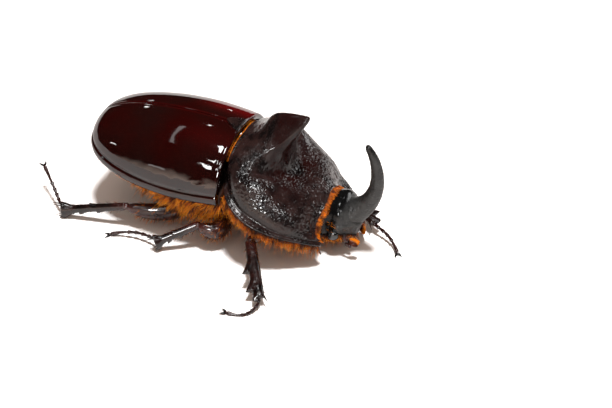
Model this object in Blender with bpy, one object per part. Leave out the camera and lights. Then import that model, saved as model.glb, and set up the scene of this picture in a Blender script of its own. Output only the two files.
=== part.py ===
# Male European rhinoceros beetle, walking, at life size: shell, head, horn and six legs.
import bpy
import bmesh
from math import asin, cos, exp, pi, sin
from mathutils import Matrix, Vector

for item in list(bpy.data.objects):
    bpy.data.objects.remove(item, do_unlink=True)

# Sizes are in millimetres. X runs along the body to the head, Y to its left, Z up from the floor.
MM = 0.001
MIDDLE = Vector((2.6, 0.0, 0.0))  # puts the middle of the outline over the origin
GAP = 0.06  # room between neighbouring pieces

# Wing cases.
CASE_LENGTH = 21.5
CASE_HALF = 9.2
CASE_HALF_BASE = 8.75
CASE_RISE = 8.15
CASE_RIM_BASE = 7.35
CASE_RIM_MID = 7.1
CASE_RIM_TIP = 9.4
CASE_BASE_DROP = 0.6
CASE_WIDEST = 0.31
CASE_ARCH = 2.17
CASE_WALL = 0.65
SEAM = 0.04

# Neck shield.
SHIELD_BACK = 0.3
SHIELD_LENGTH = 13.2
SHIELD_RIM_BACK = 8.95
SHIELD_RIM_DROP = 5.7
SHIELD_TOP_BACK = 14.0
SHIELD_TOP_FRONT = 7.9
SHIELD_HALF_BACK = 6.3
SHIELD_BULGE = 4.2
FLANGE = 1.1
KNOB_AT = 0.43
KNOB_BROAD = 2.9
KNOB_POINT = 3.3
KNOB_REACH = 3.9
HOLLOW = 1.1
SIDE_BULGE = 0.8
NECK_NOTCH = 1.5
SHIELD_WALL = 0.45

# Underside.
BELLY = 2.3
BELLY_BACK = -19.4
TAIL_HALF = 4.9
TAIL_HEIGHT = 6.2
TAIL_RISE = 2.85
TAIL_DOME = 1.5

# Head.
HEAD_BACK = 12.8
HEAD_NECK = 13.4
HEAD_LENGTH = 4.6
HEAD_HALF = 3.25
HORN_CENTRE = Vector((14.9, 0.0, 12.4))
HORN_START = -1.38
HORN_END = 1.0
HORN_TIP = 0.3

# Legs: hip, knee, end of the shin, then start, bend and end of the foot.
LEGS = {
    "front_right": ((8.0, -2.2, 3.2), (6.7, -6.2, 3.5), (5.5, -10.0, 4.2), (10.1, -17.2, 1.2),
                    (10.0, -17.3, 0.8), (9.9, -20.4, -0.15), (6.8, -20.4, 0.2)),
    "front_left": ((8.0, 2.2, 3.2), (9.0, 6.0, 2.5), (11.0, 8.5, 2.3), (18.1, 3.3, 1.6),
                   (18.0, 3.3, 1.45), (21.0, 2.5, 1.1), (22.6, 0.2, 0.26)),
    "middle_right": ((-0.5, -3.8, 3.2), (1.6, -9.2, 2.0), (-2.7, -8.9, 3.4), (-7.6, -12.2, 1.25),
                     (-8.0, -11.4, 1.1), (-11.2, -10.3, 1.2), (-14.4, -11.8, 0.26)),
    "middle_left": ((-0.8, 3.8, 3.2), (-0.2, 7.6, 2.3), (-3.0, 8.9, 3.9), (-4.6, 15.3, 1.25),
                    (-4.7, 15.6, 0.9), (-5.6, 18.6, -0.15), (-2.6, 20.0, 0.2)),
    "hind_right": ((-5.5, -4.0, 3.0), (-8.0, -7.6, 1.9), (-13.6, -8.5, 3.0), (-22.7, -10.5, 1.05),
                   (-23.3, -9.7, 1.5), (-24.5, -8.5, 2.2), (-27.8, -5.6, 3.65)),
    "hind_left": ((-5.5, 4.0, 3.0), (-8.0, 7.4, 2.1), (-12.5, 8.0, 4.0), (-19.6, 12.6, 1.3),
                  (-19.8, 12.8, 0.9), (-22.0, 14.8, -0.15), (-25.6, 15.1, 0.2)),
}
THIGH_HALF = 1.25
THIGH_THICK = 0.85
SHIN_THICK = 0.5
FOOT_HALF = 0.3
FOOT_ROOT = 0.25
CLAW_HALF = 0.2


def material(name, colour, rough):
    made = bpy.data.materials.new(name)
    made.use_nodes = True
    shader = made.node_tree.nodes["Principled BSDF"]
    shader.inputs["Base Color"].default_value = (*colour, 1.0)
    shader.inputs["Roughness"].default_value = rough
    return made


def step(value):
    value = min(1.0, max(0.0, value))
    return value * value * (3.0 - 2.0 * value)


def finish(name, bm, colour, rough):
    """Closes, faces outward and names the body held in bm, which is in millimetres."""
    bmesh.ops.remove_doubles(bm, verts=bm.verts, dist=0.002)
    bmesh.ops.dissolve_degenerate(bm, edges=bm.edges, dist=0.0005)
    bmesh.ops.triangulate(bm, faces=bm.faces)
    bmesh.ops.recalc_face_normals(bm, faces=bm.faces)
    if bm.calc_volume(signed=True) < 0:
        bmesh.ops.reverse_faces(bm, faces=bm.faces)
    bmesh.ops.translate(bm, verts=bm.verts, vec=MIDDLE)
    bmesh.ops.scale(bm, verts=bm.verts, vec=(MM, MM, MM))
    mesh = bpy.data.meshes.new(name)
    bm.to_mesh(mesh)
    bm.free()
    mesh.shade_smooth()
    piece = bpy.data.objects.new(name, mesh)
    bpy.context.scene.collection.objects.link(piece)
    piece.data.materials.append(material(name, colour, rough))
    return piece


def rehome(piece, point):
    """Moves the piece's own origin to point, leaving its shape where it is."""
    offset = (Vector(point) + MIDDLE) * MM
    piece.data.transform(Matrix.Translation(-offset))
    piece.location = offset


def loft(name, ring, rings, sides, colour, rough, shift=0.0):
    """A closed body: a grid rolled into a tube by ring(u, turn), then capped at both ends."""
    bm = bmesh.new()
    bmesh.ops.create_grid(bm, x_segments=rings, y_segments=sides, size=0.5)
    for vert in bm.verts:
        vert.co = ring(vert.co.x + 0.5, 2 * pi * (vert.co.y + 0.5 + shift / sides))
    bmesh.ops.remove_doubles(bm, verts=bm.verts, dist=0.002)
    ends = [edge for edge in bm.edges if edge.is_boundary]
    caps = bmesh.ops.holes_fill(bm, edges=ends)["faces"]
    bmesh.ops.poke(bm, faces=caps)
    return finish(name, bm, colour, rough)


def plate(name, outer, inner, along, across, colour, rough):
    """A closed shell: a grid thickened by an extrusion, its two sides set by outer and inner."""
    bm = bmesh.new()
    bmesh.ops.create_grid(bm, x_segments=along, y_segments=across, size=0.5)
    under = list(bm.verts)
    lifted = bmesh.ops.extrude_face_region(bm, geom=bm.faces[:], use_keep_orig=True)["geom"]
    top = [item for item in lifted if isinstance(item, bmesh.types.BMVert)]
    for sheet, verts in ((inner, under), (outer, top)):
        for vert in verts:
            vert.co = sheet(vert.co.x + 0.5, vert.co.y + 0.5)
    return finish(name, bm, colour, rough)


def boolean(piece, other, operation):
    fit = piece.modifiers.new("Fit", "BOOLEAN")
    fit.operation = operation
    fit.solver = "EXACT"
    fit.object = other
    other.hide_render = True
    other.display_type = "WIRE"


def grown(piece, room):
    """A copy of the piece, larger by room on every side, to cut with."""
    copy = piece.copy()
    copy.data = piece.data.copy()
    copy.name = piece.name + "_cutter"
    bpy.context.scene.collection.objects.link(copy)
    moved = [vert.co + vert.normal * room * MM for vert in copy.data.vertices]
    for vert, place in zip(copy.data.vertices, moved):
        vert.co = place
    return copy


def cut(piece, other, room=GAP):
    boolean(piece, grown(other, room), "DIFFERENCE")


# Wing cases: an outline along the rim, a profile along the seam and an arch between them.
def case_lines(u, inset):
    """x, half width, rim height and seam height at u along the wing case."""
    wide = CASE_HALF - inset
    top = CASE_RIM_MID + CASE_RISE - inset
    if u < CASE_WIDEST:
        near = u / CASE_WIDEST
        swell = sin(near * pi / 2)
        x = -CASE_LENGTH * u
        half = wide - (CASE_HALF - CASE_HALF_BASE) * (1 - swell)
        rim = CASE_RIM_BASE + (CASE_RIM_MID - CASE_RIM_BASE) * swell
        return x, half, rim, top - CASE_BASE_DROP * (1 - near) ** 2
    turn = (u - CASE_WIDEST) / (1 - CASE_WIDEST) * pi / 2
    back = max(cos(turn), 0.0)
    x = -CASE_LENGTH * CASE_WIDEST - (CASE_LENGTH * (1 - CASE_WIDEST) - inset) * sin(turn) ** 1.06
    rim = CASE_RIM_MID + (CASE_RIM_TIP - CASE_RIM_MID) * (1 - back)
    return x, wide * back ** 0.62, rim, CASE_RIM_TIP + (top - CASE_RIM_TIP) * back ** 0.73


def case_at(x, inset):
    """u where the wing case's outline reaches x."""
    straight = CASE_LENGTH * CASE_WIDEST
    if -x < straight:
        return max(-x, 0.0) / CASE_LENGTH
    part = min((-x - straight) / (CASE_LENGTH - straight - inset), 0.999)
    return CASE_WIDEST + (1 - CASE_WIDEST) * asin(part ** (1 / 1.06)) * 2 / pi


def case_point(side, inset, u, v):
    x, half, rim, seam = case_lines(u, inset)
    turn = v * pi / 2
    y = max(half * sin(turn) ** (2 / CASE_ARCH), SEAM)
    z = rim + (seam - rim) * max(cos(turn), 0.0) ** (2 / CASE_ARCH)
    return Vector((x, side * y, z))


def case_sheet(side, inset):
    return lambda u, v: case_point(side, inset, u, v)


CHESTNUT = (0.035, 0.008, 0.006)
for side, name in ((1, "wing_case_left"), (-1, "wing_case_right")):
    case = plate(name, case_sheet(side, 0.0), case_sheet(side, CASE_WALL), 15, 9, CHESTNUT, 0.2)
    rehome(case, (0.0, side * CASE_HALF_BASE, CASE_RIM_BASE))


# Shield between the wing cases and the head, with its raised knob and the hollow before it.
def shield_rim(u):
    along = u ** 1.2
    bulge = max(sin(pi * along ** 0.74), 0.0) ** 0.9
    x = SHIELD_BACK + (SHIELD_LENGTH + 0.1) * along - 0.2 * (1 - u)
    half = SHIELD_HALF_BACK + SHIELD_BULGE * bulge
    return x, half, SHIELD_RIM_BACK - SHIELD_RIM_DROP * along ** 1.05


def shield_crest(u):
    z = SHIELD_TOP_FRONT + (SHIELD_TOP_BACK - SHIELD_TOP_FRONT) * (1 - u ** 1.6)
    return SHIELD_BACK + (SHIELD_LENGTH - 0.5) * u, z


def shield_base(u, v):
    """The plain arch at u from back to front and v from 0 at the right rim to 1 at the left."""
    side = 2 * v - 1
    out = abs(side)
    rim_x, half, rim_z = shield_rim(u)
    top_x, top_z = shield_crest(u)
    if out > 0.9:
        edge = (out - 0.9) / 0.1
        y = half - FLANGE * (1 - edge)
        x = rim_x
        z = rim_z + 0.25 * (1 - edge)
    else:
        turn = out / 0.9 * pi / 2
        y = (half - FLANGE) * sin(turn)
        lift = max(cos(turn), 0.0)
        x = rim_x + (top_x - rim_x) * (1 - sin(turn))
        z = rim_z + 0.25 + (top_z - rim_z - 0.25) * lift ** 0.85
    x -= NECK_NOTCH * exp(-((y - 4.4) / 1.2) ** 2) * step((u - 0.75) / 0.25)
    return Vector((x, y if side > 0 else -y, z))


def shield_top(u, v):
    spot = shield_base(u, v)
    y = abs(spot.y)
    brink = KNOB_AT + 0.03 * (1 - exp(-(y / 1.5) ** 2)) - 0.006 * min(y, 7.0) ** 2
    rise = step((u + 0.04) / (KNOB_AT + 0.04)) ** 0.9
    point = step((u - 0.1) / (KNOB_AT - 0.1)) ** 1.2
    fall = 1 - step((u - brink) / 0.12)
    height = KNOB_BROAD * exp(-(y / 5.6) ** 2) * rise + KNOB_POINT * exp(-(y / 1.9) ** 2) * point
    spot.z += height * fall * step(u / 0.08)
    spot.x += KNOB_REACH * exp(-((u - brink + 0.01) / 0.06) ** 2) * exp(-(y / 2.4) ** 2)
    spot.z -= HOLLOW * exp(-((u - 0.68) / 0.16) ** 2) * exp(-(y / 4.4) ** 2)
    spot.z -= 0.6 * exp(-((u - brink - 0.15) / 0.07) ** 2) * exp(-(y / 6.0) ** 4)
    spot.z += SIDE_BULGE * exp(-((u - 0.4) / 0.17) ** 2) * exp(-((y - 7.2) / 1.5) ** 2)
    return spot


def shield_under(u, v):
    spot = shield_base(u, v)
    rim_x, half, rim_z = shield_rim(u)
    spot.z = rim_z - SHIELD_WALL + 0.9 * (1 - (spot.y / half) ** 2)
    spot.y *= 0.985
    return spot


BLACKISH = (0.014, 0.009, 0.009)
shield = plate("neck_shield", shield_top, shield_under, 21, 20, BLACKISH, 0.35)
rehome(shield, (SHIELD_BACK, 0.0, SHIELD_RIM_BACK))


# Small three-cornered plate lying on the front of the seam.
def tag(height):
    def sheet(u, v):
        half = 1.5 * (1 - u) ** 0.8 + 0.05
        y = half * (2 * v - 1)
        x = -0.15 - 2.2 * u
        _, wide, rim, seam = case_lines(-x / CASE_LENGTH, 0.0)
        return Vector((x, y, seam + height - 0.03 * y * y))
    return sheet


tag_piece = plate("shoulder_tag", tag(0.32), tag(0.06), 4, 4, BLACKISH, 0.3)
rehome(tag_piece, (-0.15, 0.0, CASE_RIM_MID + CASE_RISE))


# Underside: body rings that fit inside the wing cases, and a chest block under the shield.
def body_ring(front, back, tail):
    def ring(u, turn):
        x = front + (back - front) * u
        inset = CASE_WALL + 0.15
        _, half, rim, seam = case_lines(case_at(x, inset), inset)
        low = BELLY + 1.2 * tail * u ** 3
        across = cos(turn)
        up = sin(turn)
        y = half * (1 if across > 0 else -1) * abs(across) ** 0.92
        if up > 0:
            z = rim + (seam - rim) * up ** 0.96
        else:
            z = rim - (rim - low) * abs(up) ** 0.9
        return Vector((x, y, z))
    return ring


HAIRY = (0.10, 0.035, 0.012)
thorax = loft("hind_chest", body_ring(-0.05, -7.9, 0.0), 4, 18, HAIRY, 0.6)
rehome(thorax, (-4.0, 0.0, BELLY))
abdomen = loft("belly", body_ring(-7.96, BELLY_BACK, 1.0), 7, 18, HAIRY, 0.5)
rehome(abdomen, (-13.0, 0.0, BELLY))
for name in ("wing_case_left", "wing_case_right"):
    cut(thorax, bpy.data.objects[name])
    cut(abdomen, bpy.data.objects[name])


def tail_ring(u, turn):
    """The end plate of the tail: a low upright dome."""
    close = cos(u * pi / 2 * 0.97)
    x = BELLY_BACK - GAP - TAIL_DOME * sin(u * pi / 2)
    return Vector((x, TAIL_HALF * close * cos(turn), TAIL_HEIGHT + TAIL_RISE * close * sin(turn)))


tail = loft("tail_plate", tail_ring, 5, 18, CHESTNUT, 0.35)
rehome(tail, (BELLY_BACK, 0.0, TAIL_HEIGHT))
for name in ("wing_case_left", "wing_case_right"):
    cut(tail, bpy.data.objects[name])


def chest_ring(u, turn):
    x = 0.2 + 12.3 * u
    across = cos(turn)
    up = sin(turn)
    rim_x, half, rim_z = shield_rim(min(1.0, max(0.0, (x - SHIELD_BACK) / SHIELD_LENGTH)) ** (1 / 1.2))
    y = (half * 0.86 - 0.6 * u) * across
    low = BELLY + 0.15 - 0.5 * u
    flat = rim_z - SHIELD_WALL - 0.35
    if up >= 0:
        z = flat + 0.8 * up * (1 - across * across)
    else:
        z = flat - (flat - low) * abs(up) ** 0.8
    return Vector((x, y, z))


chest = loft("front_chest", chest_ring, 5, 18, HAIRY, 0.6)
rehome(chest, (6.5, 0.0, BELLY))
cut(chest, shield)


# Head. The horn and the eyes are cut to its surface.
def head_ring(u, turn):
    x = HEAD_BACK + (HEAD_NECK + HEAD_LENGTH - HEAD_BACK) * u
    u = max(0.0, x - HEAD_NECK) / HEAD_LENGTH
    half = HEAD_HALF * (0.93 + 0.1 * sin(pi * min(u / 0.7, 1.0))) * (1 - 0.5 * step((u - 0.35) / 0.75))
    half += 0.9 * step((HEAD_NECK + 0.7 - x) / 1.3)
    top = 7.5 + 0.35 * sin(pi * u) - 3.3 * step((u - 0.25) / 0.85)
    low = 1.7 + 0.6 * step(u / 0.6)
    across = cos(turn)
    up = sin(turn)
    mid = low + (top - low) * 0.46
    y = half * (1 if across > 0 else -1) * abs(across) ** (0.85 if up > 0 else 0.65)
    z = mid + (top - mid) * up ** 0.9 if up > 0 else mid - (mid - low) * abs(up) ** 0.75
    x -= 0.9 * u * step((4.8 - z) / 2.2)
    return Vector((x, y, z))


HORN_BLACK = (0.012, 0.012, 0.013)
head = loft("head", head_ring, 9, 16, HORN_BLACK, 0.35)
rehome(head, (HEAD_NECK, 0.0, 5.0))
cut(head, shield)
cut(head, chest)


def horn_ring(u, turn):
    bend = HORN_START + (HORN_END - HORN_START) * u
    reach = 4.3 + (1.9 if bend < 0.25 else 1.6) * ((bend - 0.25) / 1.3) ** 2
    out = Vector((cos(bend), 0.0, sin(bend)))
    left = 1 - u
    thick = HORN_TIP + 0.85 * left ** 0.5 + 0.9 * left ** 5
    thick *= min(1.0, 0.35 + (left / 0.04)) if left < 0.03 else 1.0
    spot = HORN_CENTRE + out * (reach + thick * cos(turn))
    spot.y += 0.86 * thick * sin(turn)
    return spot


horn = loft("horn", horn_ring, 16, 12, HORN_BLACK, 0.3)
rehome(horn, (16.4, 0.0, 5.9))
cut(horn, head)


def ball_ring(centre, size):
    def ring(u, turn):
        part = 0.06 + 0.88 * u
        wide = sin(pi * part)
        spot = (size[0] * wide * cos(turn), size[1] * -cos(pi * part), size[2] * wide * sin(turn))
        return Vector(centre) + Vector(spot)
    return ring


for side, name in ((1, "left"), (-1, "right")):
    eye = loft("eye_" + name, ball_ring((14.5, side * 3.05, 3.1), (0.85, 0.75, 0.85)), 5, 8,
               (0.01, 0.01, 0.012), 0.05)
    rehome(eye, (14.5, side * 3.05, 3.1))
    cut(eye, head)


# Rods: a path, half sizes across and through, and the way the broad side faces.
def rod_ring(path, across, outer, inner, thick):
    def ring(u, turn):
        near = max(u - 0.01, 0.0)
        far = min(u + 0.01, 1.0)
        along = (path(far) - path(near)).normalized()
        deep = along.cross(Vector(across)).normalized()
        broad = deep.cross(along)
        c = cos(turn)
        reach = outer(u) * c if c > 0 else inner(u) * c
        spot = path(u) + broad * reach + deep * (thick(u) * sin(turn))
        spot.z = max(spot.z, 0.0)
        return spot
    return ring


def line(start, end):
    return lambda u: Vector(start).lerp(Vector(end), u)


def bend(start, middle, end):
    return lambda u: (Vector(start) * (1 - u) ** 2 + Vector(middle) * 2 * u * (1 - u)
                      + Vector(end) * u ** 2)


def taper(first, last, power=1.0):
    return lambda u: first + (last - first) * u ** power


# Feelers with their leaf clubs, and the palps under the head.
AMBER = (0.45, 0.12, 0.01)
FEELERS = {
    "right": ((15.9, -2.5, 3.0), (16.2, -3.3, 2.7), (16.75, -3.1, 2.75), (18.2, -2.9, 2.45)),
    "left": ((15.9, 2.4, 2.9), (16.9, 2.8, 2.2), (17.0, 1.75, 1.9), (17.45, 0.75, 1.35)),
}
for name, (root, elbow, wrist, tip) in FEELERS.items():
    stem = loft("feeler_" + name, rod_ring(bend(root, elbow, wrist), (0, 0, 1), taper(0.27, 0.25),
                taper(0.27, 0.25), taper(0.27, 0.25)), 5, 8, BLACKISH, 0.3)
    rehome(stem, root)
    swell = lambda u: 0.22 + 0.42 * sin(pi * (0.1 + 0.85 * u))
    club = loft("feeler_club_" + name, rod_ring(line(wrist, tip), (0, 0, 1), swell, swell,
                lambda u: 0.25 + 0.15 * sin(pi * u)), 5, 8, AMBER, 0.4)
    rehome(club, wrist)
    cut(stem, head)
    cut(club, stem)
    cut(club, head)
for side, name in ((1, "left"), (-1, "right")):
    root = (15.4, side * 1.7, 2.3)
    palp = loft("palp_" + name, rod_ring(bend(root, (16.0, side * 2.6, 1.4), (17.0, side * 2.3, 1.3)),
                (0, 0, 1), taper(0.26, 0.3), taper(0.26, 0.3), taper(0.26, 0.3)), 5, 8, BLACKISH, 0.3)
    rehome(palp, root)
    cut(palp, head)


# Legs.
def spike(u, at, width, height):
    return height * max(0.0, 1 - abs(u - at) / width)


def shin_sizes(kind):
    """Half widths along the shin: its outer edge, with teeth or ridges, and its inner edge."""
    if kind == "front":
        def outer(u):
            body = 0.75 + 0.2 * step(u / 0.5)
            teeth = spike(u, 0.48, 0.13, 0.75) + spike(u, 0.79, 0.13, 0.75)
            return body * (1 - 0.45 * step((u - 0.85) / 0.15)) + teeth + spike(u, 1.0, 0.12, 0.75)
        return outer, taper(0.7, 0.62)

    def flare(u):
        ridges = spike(u, 0.42, 0.1, 0.22) + spike(u, 0.68, 0.1, 0.28)
        return 0.48 + 0.1 * u + ridges + 0.68 * step((u - 0.75) / 0.25)

    return flare, lambda u: 0.45 + 0.12 * u + 0.58 * step((u - 0.78) / 0.22)


RED_BLACK = (0.03, 0.009, 0.008)
for name, (hip, swing, knee, heel, ankle, curve, toe) in LEGS.items():
    kind, hand = name.split("_")
    side = 1 if hand == "left" else -1
    level = (0, 0, 1)
    if kind == "front":
        facing = (-0.86, -0.5, -0.1) if hand == "right" else (0.57, 0.77, 0.29)
    else:
        facing = (0, side * 0.35, -1)

    outer, inner = shin_sizes(kind)
    shin = loft("shin_" + name, rod_ring(line(knee, heel), facing, outer, inner,
                lambda u: SHIN_THICK * (0.85 + 0.15 * u)), 18 if kind == "front" else 14, 8,
                RED_BLACK, 0.25, 0.5)
    rehome(shin, knee)

    swell = lambda u: 0.5 + (THIGH_HALF - 0.5) * sin(pi * (0.1 + 0.86 * u))
    thigh = loft("thigh_" + name, rod_ring(bend(hip, swing, knee), facing,
                 swell, swell, lambda u: THIGH_THICK * (0.62 + 0.38 * sin(pi * u))), 7, 8,
                 RED_BLACK, 0.3)
    rehome(thigh, hip)
    cut(thigh, shin)
    for part in (thorax, abdomen, chest, shield):
        cut(thigh, part)

    beads = lambda u: FOOT_HALF * (0.86 + 0.2 * abs(sin(pi * (5 * u + 0.12))))
    along = (Vector(heel) - Vector(knee)).normalized()
    rooted = Vector(heel).lerp(Vector(ankle), 0.5)         # just inside the end of the shin
    rooted -= along * (FOOT_ROOT + max(0.0, (rooted - Vector(heel)).dot(along)))
    foot = loft("foot_" + name, rod_ring(bend(rooted, curve, toe), level, beads, beads, beads),
                12, 6, RED_BLACK, 0.25, 0.5)
    rehome(foot, ankle)
    cut(foot, shin)

    onward = (Vector(toe) - Vector(curve)).normalized()
    wing = Vector((-onward.y, onward.x, 0.0)).normalized()

    def hooks(u, toe=toe, onward=onward, wing=wing):
        half = 2 * u - 1
        out = abs(half)
        spot = Vector(toe) + onward * (GAP + CLAW_HALF + 0.8 * (1 - cos(out * pi / 2)))
        spot += wing * (0.5 * sin(half * pi / 2 * 0.9))
        spot.z += 0.1 * sin(out * pi) - 0.09 * out - 0.08
        return spot

    hook = lambda u: CLAW_HALF * (1 - 0.62 * abs(2 * u - 1) ** 2)
    claws = loft("claws_" + name, rod_ring(hooks, level, hook, hook, hook), 8, 6,
                 HORN_BLACK, 0.2, 0.5)
    rehome(claws, toe)
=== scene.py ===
# Male European rhinoceros beetle, walking: glossy shell, horn, toothed legs and orange coat.
import random
import bmesh
import bpy
from math import asin, cos, exp, pi, radians, sin, sqrt
from mathutils import Matrix, Quaternion, Vector, noise


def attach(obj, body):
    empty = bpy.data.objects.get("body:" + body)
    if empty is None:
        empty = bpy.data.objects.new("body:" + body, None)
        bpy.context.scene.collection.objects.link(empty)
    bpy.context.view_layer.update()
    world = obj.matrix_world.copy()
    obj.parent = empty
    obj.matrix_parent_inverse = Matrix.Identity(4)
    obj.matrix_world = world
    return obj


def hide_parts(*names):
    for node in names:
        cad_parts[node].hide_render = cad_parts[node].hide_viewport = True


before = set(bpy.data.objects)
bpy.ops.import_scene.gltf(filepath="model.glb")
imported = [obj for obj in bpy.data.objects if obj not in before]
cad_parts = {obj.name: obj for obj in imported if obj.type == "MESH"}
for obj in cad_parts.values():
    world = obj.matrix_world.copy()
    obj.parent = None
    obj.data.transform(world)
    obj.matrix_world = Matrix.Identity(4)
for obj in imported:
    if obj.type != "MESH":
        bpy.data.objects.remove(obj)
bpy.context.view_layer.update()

# Sizes below are in millimetres. X runs to the head, Y to the beetle's left, Z up.
mm = 0.001
middle = Vector((2.6, 0.0, 0.0))   # the body's own zero, seen from the model's origin
hands = ((1, "left"), (-1, "right"))


def smooth(value):
    value = min(1.0, max(0.0, value))
    return value * value * (3.0 - 2.0 * value)


def ramp(value, start, width):
    return smooth((value - start) / width)


def bell(value, centre, width):
    return exp(-((value - centre) / width) ** 2)


def dome(part):
    # the height of a quarter round at this part of its width
    return sqrt(max(0.0, 1 - (1 - part) ** 2))


# Materials
def addNode(tree, kind, **values):
    node = tree.nodes.new(kind)
    for name, value in values.items():
        if name in node.inputs:
            node.inputs[name].default_value = value
        else:
            setattr(node, name, value)
    return node


def newMaterial(name):
    made = bpy.data.materials.new(name)
    made.use_nodes = True
    return made, made.node_tree, made.node_tree.nodes["Principled BSDF"]


def patternAt(tree, kind, scale, output="Fac", **values):
    # a texture on object coordinates, its scale counted per millimetre
    place = addNode(tree, "ShaderNodeTexCoord")
    texture = addNode(tree, kind, Scale=scale * 1000.0, **values)
    tree.links.new(place.outputs["Object"], texture.inputs["Vector"])
    return texture.outputs[output]


def mixOf(tree, factor, first, second, kind="RGBA"):
    # first and second are colours, numbers or the outputs of other nodes
    mix = addNode(tree, "ShaderNodeMix", data_type=kind)
    start, result = (6, 2) if kind == "RGBA" else (2, 0)
    for place, value in enumerate((first, second), start):
        if isinstance(value, bpy.types.NodeSocket):
            tree.links.new(value, mix.inputs[place])
        else:
            mix.inputs[place].default_value = (*value, 1.0) if kind == "RGBA" else value
    tree.links.new(factor, mix.inputs[0])
    return mix.outputs[result]


def mapValue(tree, value, low, high, toLow=0.0, toHigh=1.0):
    ranged = addNode(tree, "ShaderNodeMapRange")
    for place, number in enumerate((low, high, toLow, toHigh), 1):
        ranged.inputs[place].default_value = number
    tree.links.new(value, ranged.inputs[0])
    return ranged.outputs[0]


def newShell(name, look):
    made, tree, shader = newMaterial(name)
    cloud = patternAt(tree, "ShaderNodeTexNoise", look["cloudScale"], Detail=4.0)
    colour = mixOf(tree, mapValue(tree, cloud, 0.38, 0.62), look["dark"], look["light"])
    rough = mapValue(tree, cloud, 0.35, 0.65, *look["rough"])
    if "patch" in look:   # the piece's own attribute brings in a second colour and finish
        spread = addNode(tree, "ShaderNodeAttribute", attribute_name="patch").outputs["Fac"]
        colour = mixOf(tree, spread, colour, look["patch"])
        rough = mixOf(tree, spread, rough, look["patchRough"], "FLOAT")
    tree.links.new(colour, shader.inputs["Base Color"])
    tree.links.new(rough, shader.inputs["Roughness"])
    for socket, value in (("Specular IOR Level", look["gloss"]), ("Coat Weight", look["coat"]),
            ("Coat Roughness", look["coatRough"]), ("Coat IOR", look.get("coatIor", 1.5)),
            ("IOR", look.get("ior", 1.45))):
        shader.inputs[socket].default_value = value
    if "patchCoat" in look:
        for socket, key in (("Coat Weight", "coat"), ("Specular IOR Level", "gloss")):
            second = look["patch" + key.capitalize()]
            tree.links.new(mapValue(tree, spread, 0.0, 1.0, look[key], second), shader.inputs[socket])
    normal = None
    for kind, scale, depth in look["relief"]:
        if kind == "pits":
            height = mapValue(tree, patternAt(tree, "ShaderNodeTexVoronoi", scale, "Distance"), 0.0, 0.45)
        else:
            height = patternAt(tree, "ShaderNodeTexNoise", scale, Detail=3.0)
        bump = addNode(tree, "ShaderNodeBump", Strength=1.0, Distance=depth * mm)
        tree.links.new(height, bump.inputs["Height"])
        if "even" in look:   # the second finish is also the smoother one
            strength = mapValue(tree, spread, 0.0, 1.0, 1.0, 1.0 - look["even"])
            tree.links.new(strength, bump.inputs["Strength"])
        if normal is not None:
            tree.links.new(normal, bump.inputs["Normal"])
        normal = bump.outputs[0]
    tree.links.new(normal, shader.inputs["Normal"])
    return made


def newHair(name, look):
    made, tree, shader = newMaterial(name)
    cloud = patternAt(tree, "ShaderNodeTexNoise", look["cloudScale"], Detail=2.0)
    colour = mixOf(tree, mapValue(tree, cloud, 0.35, 0.65), look["dark"], look["light"])
    along = addNode(tree, "ShaderNodeAttribute", attribute_name="patch").outputs["Fac"]
    # painted shade: each strand darkens to the root colour near its root, standing in for the shade deep
    # inside the coat; towards its end it turns to the tip colour
    rootShaded = mixOf(tree, mapValue(tree, along, 0.05, 0.45), look["root"], colour)
    tipped = mixOf(tree, mapValue(tree, along, 0.4, 1.1), rootShaded, look["tip"])
    tree.links.new(tipped, shader.inputs["Base Color"])
    shader.inputs["Roughness"].default_value = look["rough"]
    shader.inputs["Specular IOR Level"].default_value = look["gloss"]
    return made


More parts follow.
